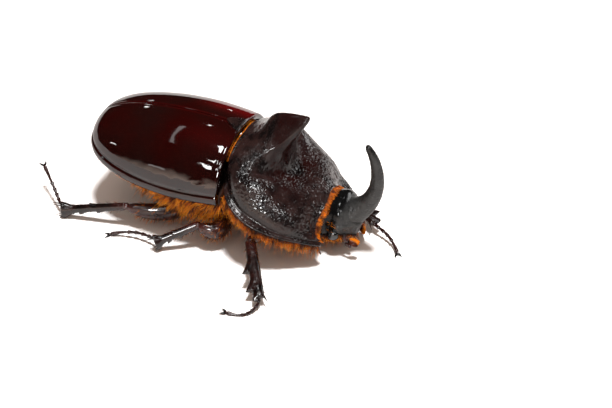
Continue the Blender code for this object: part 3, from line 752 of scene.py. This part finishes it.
bristleRoots = []
thighRings = []
for name, places in legs.items():
    hip, swing, knee, heel, ankle, bend, toe = (Vector(place) for place in places)
    kind, hand = name.split("_")
    facing, along, broad, deep = shinFrame(kind, 1 if hand == "left" else -1, knee, heel)

    def nearKnee(spot, reach):
        return 1 - smooth((spot - knee).length / reach)

    def legPiece(part, bm, patch):
        finishPiece(part + "Piece_" + name, bm, "legShell", (part + "_" + name,), patch)

    shinMesh = bmesh.new()
    if kind == "front":
        ring = rodRing(straight(knee, heel), facing, frontOuter, lambda u: 0.7 - 0.08 * u,
            lambda u: legShape["shinThick"] * (0.85 + 0.15 * u) * (1 + 0.25 * sin(pi * u)),
            lambda u: 0.45 * frontTeeth(u), share=0.04)
    else:
        ring = rodRing(straight(knee, heel), facing, backOuter, backInner,
            lambda u: legShape["shinThick"] * (0.85 + 0.15 * u) + 0.22 * ramp(u, 0.8, 0.2),
            lambda u: 0.3 * tooth(u, 0.43, 0.12, 0.03) + 0.3 * tooth(u, 0.70, 0.12, 0.03),
            share=0.035)
    tubeInto(shinMesh, ring, 120, 22)
    if kind == "front":   # one spur inside the end
        root = heel - along * 0.5 - broad * 0.45
        spikeInto(shinMesh, root, root + along * 1.3 - broad * 0.45, spurs["front"])
    else:   # two spurs and a comb of short spines
        for step, (out, reach) in enumerate(((-0.9, 1.15), (-0.45, 1.35))):
            root = heel + broad * out - along * 0.25 + deep * (0.3 - 0.5 * step)
            tip = root + along * reach - broad * 0.25
            tip.z = max(tip.z, 0.03)
            spikeInto(shinMesh, root, tip, spurs["back"])
        for step in range(spurs["combSpines"]):
            angle = -1.2 + 2.4 * step / (spurs["combSpines"] - 1)
            root = heel + broad * (1.05 * cos(angle)) + deep * (0.55 * sin(angle)) - along * 0.3
            tip = root + along * 0.62 + broad * (0.12 * cos(angle))
            root.z, tip.z = max(root.z, 0.12), max(tip.z, 0.03)
            spikeInto(shinMesh, root, tip, spurs["comb"])
    legPiece("shin", shinMesh, lambda spot: 0.5 * nearKnee(spot, 3.0))

    thighMesh = bmesh.new()
    thighRing = rodRing(curved(hip, swing, knee), facing, thighHalf, thighHalf,
        lambda u: legShape["thighThick"] * (0.62 + 0.38 * sin(pi * u)), share=0.1)
    tubeInto(thighMesh, thighRing, 60, 28)
    knob = bmesh.ops.create_uvsphere(thighMesh, u_segments=20, v_segments=14, radius=legShape["knee"])
    bmesh.ops.translate(thighMesh, verts=knob["verts"], vec=knee)
    legPiece("thigh", thighMesh, lambda spot: 0.55 + 0.4 * nearKnee(spot, 4.5))
    thighRings.append(thighRing)

    path = curved(ankle, bend, toe)
    onward = (toe - bend).normalized()
    footMesh = bmesh.new()
    tubeInto(footMesh, roundRod(path, footSize, 0.02), 150, 18)
    # a stem roots the foot in the shin and another one in the claws
    for start, end, size in ((heel.lerp(ankle, 0.5) - along * 0.45, path(0.05), legShape["ankle"]),
            (path(0.96), toe + onward * 0.3, legShape["clawRoot"])):
        tubeInto(footMesh, roundRod(straight(start, end), lambda u: size, 0.12), 16, 14)
    legPiece("foot", footMesh, 0.25)

    wing = Vector((-onward.y, onward.x, 0.0)).normalized()

    def hooks(u):
        half = 2 * u - 1
        out = abs(half)
        spot = toe + onward * (0.06 + legShape["claw"] + 0.8 * (1 - cos(out * pi / 2)))
        spot += wing * (0.5 * sin(half * pi / 2 * 0.9))
        spot.z += 0.1 * sin(out * pi) - 0.09 * out - 0.08
        return spot

    hook = roundRod(hooks, lambda u: legShape["claw"] * (1 - 0.92 * abs(2 * u - 1) ** 1.4), 0.02)
    tubePiece("clawPiece_" + name, hook, 60, 16, "hornShell", ("claws_" + name,), 0.8)

    # bristles along the shin's two edges and under the foot joints
    for edge, size in ((1, frontOuter if kind == "front" else backOuter), (-1, lambda u: 0.5)):
        for step in range(legShape["bristles"]):
            u = 0.08 + 0.88 * step / (legShape["bristles"] - 1)
            root = knee.lerp(heel, u) + broad * (edge * size(u) * 0.82)
            way = along * 0.8 + broad * (edge * 0.75) + deep * (0.5 * sin(step * 2.4))
            bristleRoots.append((root, way, 0.55 + 0.25 * sin(step * 1.7), (u, 0.5 + 0.4 * edge)))
    for joint in footJoints[1:]:
        for edge in (-1, 1):
            u = joint - 0.02
            root = path(u) + wing * (edge * 0.2)
            way = (path(min(u + 0.02, 1.0)) - path(u - 0.02)).normalized() + wing * (0.7 * edge)
            bristleRoots.append((root, way - Vector((0, 0, 0.2)), 0.45, (u, 0.5 + 0.3 * edge)))
print("stage: legs made")


# Underside skin
underside = {"belly": 2.3, "front": 12.4, "back": -19.3, "coatDepth": 0.55, "chestDrop": 0.55,
    "plateStep": 2.05, "plateRise": 0.2, "tailHalf": 4.2, "tailHeight": 6.2, "tailRise": 2.3, "tailDome": 1.2}


def skinPoint(u, turn):
    x = underside["front"] + (underside["back"] - underside["front"]) * u
    chest = smooth((x + 0.3) / 0.8)
    depth = underside["coatDepth"]
    inset = wingCase["wall"] + 0.15
    half, rim = caseLines(caseAt(x, inset), inset)[1:3]
    low = underside["belly"] + 1.2 * min(1.0, max(0.0, (-x - 7.96) / 11.44)) ** 3
    top = rim + 1.6
    if chest > 0:
        part = min(1.0, max(0.0, (x - neckShield["back"]) / neckShield["length"]))
        chestHalf, rimZ = shieldRim(part ** (1 / 1.2))[1:]
        flat = rimZ - neckShield["wall"] - underside["chestDrop"]
        fore = (x - 0.2) / 12.3
        half += (chestHalf * 0.86 - 0.6 * fore - half) * chest
        low += (underside["belly"] + 0.15 - 0.5 * fore - low) * chest
        rim += (flat - rim) * chest
        top += (flat + 0.6 - top) * chest
    half -= depth + 1.0 * ramp(-x, 7.0, 4.0)
    low += depth
    across = cos(turn)
    up = sin(turn)
    y = half * (1 if across > 0 else -1) * abs(across) ** 0.92
    z = rim + (top - rim) * up if up > 0 else rim - (rim - low) * abs(up) ** (0.9 - 0.1 * chest)
    spot = Vector((x, y, z))
    if x < -8.3 and up < 0.25:   # overlapping belly plates
        part = (-x - 8.3) / underside["plateStep"] % 1.0
        rise = underside["plateRise"] * (part ** 2 - 0.5) * smooth((0.25 - up) / 0.3)
        spot += Vector((0, across, up)) * rise
    swelling = 0.25 * noise.noise(spot * 0.45)
    return spot + Vector((0, across, up)) * swelling * 0.6


skinMesh = bmesh.new()
tubeInto(skinMesh, skinPoint, 260, 120)
skin = finishPiece("undersideSkin", skinMesh, "underSkin",
    ("hind_chest", "belly", "front_chest"))


def unwrapSkin(piece):
    # the skin's own unwrap: along the body and round it
    bm = bmesh.new()
    bm.from_mesh(piece.data)
    layer = bm.loops.layers.uv.new("OFBake")
    span = (underside["front"] - underside["back"]) * mm
    for face in bm.faces:
        leftHalf = face.calc_center_median().y > 0
        for loop in face.loops:
            spot = loop.vert.co
            along = ((underside["front"] + middle.x) * mm - spot.x) / span
            turn = 0.5 + 0.5 * (spot.z - 0.005) / 0.012
            loop[layer].uv = (min(1, max(0, along)), 0.25 + 0.24 * turn if leftHalf else 0.24 * turn)
    bm.to_mesh(piece.data)
    bm.free()


unwrapSkin(skin)


def tailRing(u, turn):
    close = cos(u * pi / 2)
    x = underside["back"] - 0.12 - underside["tailDome"] * sin(u * pi / 2)
    spot = Vector((x, underside["tailHalf"] * close * cos(turn),
            underside["tailHeight"] + 0.35 + underside["tailRise"] * close * sin(turn)))
    return spot + Vector((-0.05 * noise.noise(spot * 1.6), 0, 0))


tubePiece("tailPlate", tailRing, 60, 90, "legShell", ("tail_plate",), 0.45)
print("stage: underside made")


# Coat
strandShape = {"segments": 3, "cuts": 3, "uvPatch": 0.003, "curl": 0.12, "longer": 1.6}
plainCoat = {"hair": "orangeHair", "slot": "orange_hair", "tone": 1.0, "mottle": 2.0, "stray": 0.06}
# droop, way and shift run along X, away from the middle and up; thick is a strand's half width at its
# root, count the number of strands (a side, a leg or in all)
coats = {
    "chestCoat": {"count": 2600, "rootSeed": 11, "breastCount": 1700, "breastSeed": 21, "seed": 5,
        "droop": (-0.12, 0.05, -0.35), "thick": 0.065, "tone": 1.12},
    "bellyCoat": {"count": 900, "rootSeed": 31, "seed": 7, "droop": (-0.15, 0.05, -0.12), "thick": 0.026},
    "rimFringe": {"count": 640, "rootSeed": 111, "seed": 37, "droop": (-0.1, 0.0, -0.1), "thick": 0.028},
    "thighHair": {"count": 460, "rootSeed": 101, "seed": 31, "droop": (0.0, 0.0, -0.2), "thick": 0.028,
        "tone": 0.8},
    "shieldFringe": {"count": 2600, "rootSeed": 51, "seed": 9, "droop": (0.0, 0.05, -0.1), "thick": 0.034,
        "way": (-0.12, 0.28, -1.0), "length": 1.2, "shift": (0.0, -0.40, -0.30),
        "wild": 0.22, "stray": 0.12, "tone": 0.85, "mottle": 1.0},
    "neckBand": {"count": 2800, "rootSeed": 61, "seed": 13, "droop": (0.0, -0.05, -0.3), "thick": 0.040,
        "way": (1.0, -0.1, 0.05), "length": 0.68, "shift": (-0.05, 0.0, -0.12),
        "wild": 0.06, "stray": 0.0, "tone": 0.62, "mottle": 0.1},
    "backLine": {"count": 1500, "rootSeed": 71, "seed": 17, "droop": (0.0, 0.0, -0.1), "thick": 0.022,
        "way": (-0.8, 0.1, 0.25), "length": 0.26, "shift": (0.0, 0.0, -0.12),
        "wild": 0.08, "stray": 0.0, "mottle": 0.8},
    "mouthHair": {"count": 1900, "rootSeed": 81, "seed": 19, "droop": (0.1, 0.0, -0.1), "thick": 0.028,
        "tone": 0.7},
    "tailHair": {"count": 260, "rootSeed": 91, "seed": 23, "droop": (-0.1, 0.0, -0.2), "thick": 0.024},
    "legBristles": {"seed": 29, "droop": (0.0, 0.0, -0.08), "thick": 0.045, "tone": 0.5,
        "hair": "redBristle", "slot": "leg_shell"},
}


def strandMesh():
    # one closed strand of unit length, standing on its root
    bm = bmesh.new()
    bmesh.ops.create_cone(bm, cap_ends=True, segments=strandShape["segments"], radius1=1.0, radius2=1.0,
        depth=1.0)
    bmesh.ops.translate(bm, verts=bm.verts, vec=(0, 0, 0.5))
    uprights = [edge for edge in bm.edges if abs(edge.verts[0].co.z - edge.verts[1].co.z) > 0.5]
    bmesh.ops.subdivide_edges(bm, edges=uprights, cuts=strandShape["cuts"] - 1, use_grid_fill=True)
    return meshFrom("strand", bm)


strand = strandMesh()


def coatPiece(name, roots, side=0):
    # roots hold each strand's place, its way out, its length and its place on the skin's unwrap
    look = {**plainCoat, **coats[name.split("_")[0]]}
    rng = random.Random(look["seed"] + side)
    bm = bmesh.new()
    for root in roots:
        bm.from_mesh(strand)
    count = len(strand.vertices)
    tipLayer = bm.verts.layers.float.new("patch")
    flat = {}
    for number, vert in enumerate(bm.verts):
        place, corner = divmod(number, count)
        if corner == 0:   # the first corner of the next strand
            root, way, length, uv = roots[place]
            root, way = Vector(root), Vector(way).normalized()
            broad = way.orthogonal().normalized()
            broad.rotate(Quaternion(way, rng.uniform(0, 2 * pi)))
            deep = way.cross(broad)
            droop = onSide(1 if root.y > 0 else -1, look["droop"])
            droop += broad * rng.uniform(-strandShape["curl"], strandShape["curl"])
            thick = look["thick"] * rng.uniform(0.7, 1.25)
            shade = max(0.15, 1.0 + look["mottle"] * noise.noise(root * 1.9))
            tone = shade * rng.uniform(0.45, 1.25) * look["tone"]
            if rng.random() < look["stray"]:
                length *= strandShape["longer"]   # a few long hairs stand out
        x, y, t = vert.co
        width = thick * (1 - 0.88 * t ** 1.5)
        spot = root + way * (length * t) + droop * (length * t * t)
        spot = spot + broad * (x * width) + deep * (y * width * 0.7)
        spot.z = max(spot.z, 0.02)
        vert.co = (spot + middle) * mm
        vert[tipLayer] = t * tone
        flat[vert] = (uv[0] + strandShape["uvPatch"] * (t - 0.5), uv[1] + strandShape["uvPatch"] * 0.4 * x)
    layer = bm.loops.layers.uv.new("OFBake")
    for face in bm.faces:
        for loop in face.loops:
            loop[layer].uv = flat[loop.vert]
    return pieceFrom(name, bm, hairs[look["hair"]])


def jitter(rng, wild=0.3):
    return Vector([rng.uniform(-wild, wild) for axis in range(3)])


def sow(name, strandAt, groups=1):
    # strandAt(rng, number) gives one strand's root, as coatPiece takes it
    rng = random.Random(coats[name]["rootSeed"])
    return [strandAt(rng, number) for number in range(coats[name]["count"] * groups)]


def skinRoots(count, seed, side, choose, length, lie):
    # strands rooted on the skin where choose(rng, side) gives u and turn
    rng = random.Random(seed + side)
    roots = []
    while len(roots) < count:
        u, turn = choose(rng, side)
        spot = skinPoint(u, turn)
        outward = (skinPoint(u, turn + 0.03) - spot).cross(skinPoint(u + 0.002, turn) - spot).normalized()
        if outward.dot(Vector((0, cos(turn), sin(turn)))) < 0:
            outward.negate()
        clump = noiseWay(spot * 0.9) * 0.9
        if noise.noise(spot * 1.3) < -0.15 and rng.random() < 0.8:
            continue   # thin places between the tufts
        way = outward * lie[0] + clump + Vector(lie[1]) + Vector((0, 0, -0.25 * abs(cos(turn))))
        way += outward * max(0.0, 0.15 - way.dot(outward))
        way += Vector((rng.uniform(-0.25, 0.25), rng.uniform(-0.2, 0.2), rng.uniform(-0.2, 0.2)))
        size = length(spot) * rng.uniform(0.6, 1.15)
        height = 0.5 + 0.5 * (spot.z - 5.0) / 12.0
        uv = (u, (0.25 + 0.24 * height) if spot.y > 0 else 0.24 * height)
        roots.append((spot - outward * 0.08, way, size, uv))
    return roots


def sideTurn(rng, side, low, high):
    # an angle round the body, measured down from the widest line towards the belly
    angle = rng.uniform(low, high)
    return 2 * pi - angle if side > 0 else pi + angle


def chestPlace(rng, side):
    u = 0.375 + 0.44 * (rng.random() ** 0.9 if rng.random() < 0.25 else 0.7 * rng.random())
    return u, sideTurn(rng, side, -0.05, 1.30)


def breastPlace(rng, side):
    return rng.uniform(0.01, 0.40), sideTurn(rng, side, 0.0, 1.45)


def bellyPlace(rng, side):
    return 0.66 + 0.325 * rng.random() ** 1.5, sideTurn(rng, side, 0.0, 0.4 + rng.random() ** 2)


for side, name in hands:
    chest, belly = coats["chestCoat"], coats["bellyCoat"]
    roots = skinRoots(chest["count"], chest["rootSeed"], side, chestPlace,
        lambda spot: 1.25 + 0.5 * bell(spot.x, -3.5, 3.5), (0.55, (-0.55, 0, -0.25)))
    roots += skinRoots(chest["breastCount"], chest["breastSeed"], side, breastPlace, lambda spot: 1.1,
        (0.6, (0.1, 0, -0.35)))
    coatPiece("chestCoat_" + name, roots, side)
    roots = skinRoots(belly["count"], belly["rootSeed"], side, bellyPlace,
        lambda spot: 0.35 + 0.4 * smooth((spot.x + 16) / 8), (0.3, (-0.9, 0, 0)))
    coatPiece("bellyCoat_" + name, roots, side)


def rimStrand(rng, number):
    # a thin fringe on the belly's edge, below the rim of each wing case
    side = 1 if number < coats["rimFringe"]["count"] else -1
    u = 0.34 + 0.56 * rng.random() ** 1.1
    x, half, rim = caseLines(u, 0.75)[:3]
    way = Vector((-0.55, 0.12 * side, -0.8)) + jitter(rng)
    size = (0.9 - 0.5 * (u - 0.34) / 0.56) * rng.uniform(0.6, 1.3)
    return (x, side * half, rim), way, size, (0.4 + 0.6 * u, 0.93 if side > 0 else 0.46)


def thighStrand(rng, number):
    # thickest near the body, thinning out towards the knee
    place = number // coats["thighHair"]["count"]
    ring = thighRings[place]
    u = 0.04 + 0.84 * rng.random() ** 1.4
    turn = rng.uniform(0, 2 * pi)
    spot = ring(u, turn)
    heart = (ring(u, 0.0) + ring(u, pi)) / 2
    way = (spot - heart).normalized() * 0.55 + (ring(u + 0.03, 0) - ring(u, 0)).normalized() * 0.45
    way += jitter(rng) - Vector((0.1, 0, 0.3))
    return spot, way, (1.15 - 0.65 * u) * rng.uniform(0.6, 1.15), (u, 0.94 + 0.004 * place)


def fringePlace(rng):
    return rng.uniform(0.05, 0.98), rng.choice((0.004, 0.996)) + rng.uniform(-0.003, 0.003)


def neckPlace(rng):
    return 0.985 + rng.uniform(-0.008, 0.008), rng.uniform(0.06, 0.94)


def backPlace(rng):
    return rng.uniform(0.0, 0.006), 0.5 + rng.choice((-1, 1)) * 0.34 * rng.random() ** 1.2


coatPiece("rimFringe", sow("rimFringe", rimStrand, 2))
coatPiece("thighHair", sow("thighHair", thighStrand, len(thighRings)))
for name, placeOf in (("shieldFringe", fringePlace), ("neckBand", neckPlace), ("backLine", backPlace)):
    edge = coats[name]

    def edgeStrand(rng, number):
        # a strand on the shield's border
        u, v = placeOf(rng)
        side = 1 if v > 0.5 else -1
        way = onSide(side, edge["way"]) + jitter(rng, edge["wild"])
        spot = shieldTop(u, v)
        way += Vector((2.2 * edge["wild"], 0.0, 0.0)) * noise.noise(spot * 1.4)
        spot += onSide(side, edge["shift"])
        reach = edge["length"] * rng.uniform(0.55, 1.15) * (1 + 0.7 * bell(v, 0.5, 0.16) * (u > 0.9))
        return spot, way, reach, (u * 0.9 + 0.05, 0.52 + 0.4 * v)

    coatPiece(name, sow(name, edgeStrand))


def mouthStrand(rng, number):
    side = rng.choice((-1, 1))
    turn = 1.5 * pi + side * rng.uniform(0.0, 1.15)
    u = rng.uniform(0.12, 0.97)
    spot = headRing(u, turn)
    way = Vector((0.55, 0.45 * side * rng.random(), -0.75))
    if number % 5 < 3:   # the beard below the throat
        turn = 1.5 * pi + side * rng.uniform(0.0, 1.05)
        spot = headRing(rng.uniform(0.02, 0.5), turn)
        way = Vector((0.15, 0.3 * side * rng.random(), -0.9))
    elif number % 50 == 4:   # a tuft behind each eye
        spot = headRing(rng.uniform(0.12, 0.30), (0.0 if side > 0 else pi) + rng.uniform(-0.25, 0.3))
        way = Vector((0.7, 0.35 * side, 0.1))
    way += jitter(rng)
    return spot, way, rng.uniform(0.45, 1.15), (0.3 * u, 0.975 + 0.02 * rng.random())


def tailStrand(rng, number):
    u, turn = rng.uniform(0.0, 0.7), rng.uniform(pi, 2 * pi)
    way = Vector((-0.8, 0.3 * cos(turn), -0.35)) + jitter(rng)
    return tailRing(u, turn), way, rng.uniform(0.25, 0.6), (0.6 + 0.3 * u, 0.97)


coatPiece("mouthHair", sow("mouthHair", mouthStrand))
coatPiece("tailHair", sow("tailHair", tailStrand))
coatPiece("legBristles", bristleRoots)
bpy.data.meshes.remove(strand)
print("stage: coat made")


# Floor, light and camera
studio = {"fillLow": 0.16, "fillHigh": 0.66, "shellLow": 2.0, "shellHigh": 0.010, "shellFloorShade": 0.6,
    "shellBand": (-0.72, -0.40), "bandTilt": 0.8, "warmth": (1.0, 0.80, 0.68),
    "backdrop": (1.6, 1.6, 1.6), "floor": (0.93, 0.91, 0.90), "floorCloud": 0.985, "floorSize": 6.0,
    "floorRough": 0.7, "floorGloss": 0.1, "key": 5.2, "keySize": 10.0, "distance": 1.2}
# lamps seen only as highlights: degrees round from the head, degrees up from the floor, width, height,
# brightness and spin
highlights = {
    "longTube": (177, 65, 0.76, 0.042, 1.7, 0),
    "brinkStrip": (-61, 50, 0.55, 0.12, 6.0, 0),
    "farSheen": (60, 20, 0.55, 0.26, 4.5, 0),
    "smallLampBack": (131, 29, 0.035, 0.035, 16.0, 0),
    "smallLampTop": (116, 54, 0.035, 0.035, 16.0, 0),
    "smallLampFar": (106, 15, 0.012, 0.03, 16.0, 0),
    "smallLampRear": (-152, 17, 0.04, 0.04, 14.0, 0),
    "overheadBox": (-71, 87, 0.28, 0.26, 24.0, 0),
    "shoulderBox": (-100, 59, 0.17, 0.05, 18.0, 50),
    "lowBox": (-104, 44, 0.035, 0.12, 24.0, 20),
    "rearBox": (-119, 12, 0.16, 0.07, 1.8, 20),
    "cameraSideBox": (-75, 32, 0.20, 0.17, 60.0, 0),
    "rightBox": (-31, 39, 0.18, 0.16, 18.0, 0),
    "farBox": (67, 48, 0.11, 0.14, 6.0, 0),
}

floorMaterial, floorTree, floorShader = newMaterial("paleFloor")
floorCloud = patternAt(floorTree, "ShaderNodeTexNoise", 0.02, Detail=2.0)
floorTone = mixOf(floorTree, floorCloud, studio["floor"],
    tuple(studio["floorCloud"] * part for part in studio["floor"]))
# painted shade: the floor's colour is dimmed for rays reflected off the shell, standing in for the shade on
# the floor round the beetle
floorRay = addNode(floorTree, "ShaderNodeLightPath").outputs["Is Glossy Ray"]
floorShadedInShell = mixOf(floorTree, floorRay, floorTone,   # the floor is seen dimmer in the shell
    tuple(studio["shellFloorShade"] * part for part in studio["floor"]))
floorTree.links.new(floorShadedInShell, floorShader.inputs["Base Color"])
floorShader.inputs["Roughness"].default_value = studio["floorRough"]
floorShader.inputs["Specular IOR Level"].default_value = studio["floorGloss"]
floorMesh = bmesh.new()
bmesh.ops.create_grid(floorMesh, x_segments=4, y_segments=4, size=studio["floorSize"] / 2)
floorData = meshFrom("floor", floorMesh)
floorData.materials.append(floorMaterial)
floor = putInScene("floor", floorData)

world = bpy.data.worlds.new("studioWorld")
bpy.context.scene.world = world
world.use_nodes = True
sky = world.node_tree
rays = addNode(sky, "ShaderNodeLightPath").outputs
skyWay = addNode(sky, "ShaderNodeTexCoord")
skyAxes = addNode(sky, "ShaderNodeSeparateXYZ")
sky.links.new(skyWay.outputs["Generated"], skyAxes.inputs[0])
fill = mapValue(sky, skyAxes.outputs["Z"], 0.0, 1.0, studio["fillLow"], studio["fillHigh"])
nearSide = addNode(sky, "ShaderNodeMath", operation="MULTIPLY_ADD")
nearSide.inputs[1].default_value = studio["bandTilt"]
sky.links.new(skyAxes.outputs["Y"], nearSide.inputs[0])
sky.links.new(skyAxes.outputs["Z"], nearSide.inputs[2])
shellSky = mapValue(sky, nearSide.outputs[0], *studio["shellBand"], studio["shellLow"], studio["shellHigh"])
background = sky.nodes["Background"].inputs
sky.links.new(mixOf(sky, rays["Is Glossy Ray"], fill, shellSky, "FLOAT"), background["Strength"])
sky.links.new(mixOf(sky, rays["Is Camera Ray"], studio["warmth"], studio["backdrop"]), background["Color"])


def wayOf(turned, raised):
    # the unit vector at these degrees round from +X and up from the floor
    turned, raised = radians(turned), radians(raised)
    return Vector((cos(turned) * cos(raised), sin(turned) * cos(raised), sin(raised)))


def lookBack(item, way, spin):
    # turns a lamp or the camera back along way
    item.rotation_mode = "QUATERNION"
    item.rotation_quaternion = way.to_track_quat("Z", "Y") @ Quaternion((0, 0, 1), radians(spin))


def addLamp(name, kind, way, spin=0.0):
    lamp = bpy.data.lights.new(name, kind)
    item = putInScene(name, lamp)
    way = Vector(way).normalized()
    item.location = way * studio["distance"] + Vector((0.0, 0.0, 0.01))
    lookBack(item, way, spin)
    return lamp, item


key, keyItem = addLamp("overheadLight", "SUN", (0.04, 0.03, 1.0))
key.energy = studio["key"]
key.angle = radians(studio["keySize"])
keyItem.visible_glossy = False
for name, (turned, raised, wide, high, glow, spin) in highlights.items():
    lamp, item = addLamp(name, "AREA", wayOf(turned, raised), spin)
    lamp.shape = "RECTANGLE" if wide > 0.1 or high > 0.1 else "DISK"
    if lamp.shape == "RECTANGLE":
        lamp.size_y = high
    lamp.size = wide
    lamp.energy = glow * pi * wide * high
    item.visible_diffuse = False

viewpoint = {"aim": (12.67, -1.88, 6.0), "away": 227.76, "turned": -68.64, "raised": 36.64, "roll": 1.55,
    "lens": 100.0, "sensor": 36.0, "near": 0.01, "far": 20.0}
lens = bpy.data.cameras.new("camera")
lens.lens = viewpoint["lens"]
lens.sensor_width = viewpoint["sensor"]
lens.clip_start = viewpoint["near"]
lens.clip_end = viewpoint["far"]
camera = putInScene("camera", lens)
toCamera = wayOf(viewpoint["turned"], viewpoint["raised"])
camera.location = (Vector(viewpoint["aim"]) + toCamera * viewpoint["away"]) * mm
lookBack(camera, toCamera, viewpoint["roll"])
bpy.context.scene.camera = camera
bpy.context.scene.view_settings.view_transform = "Standard"
print("stage: studio made")
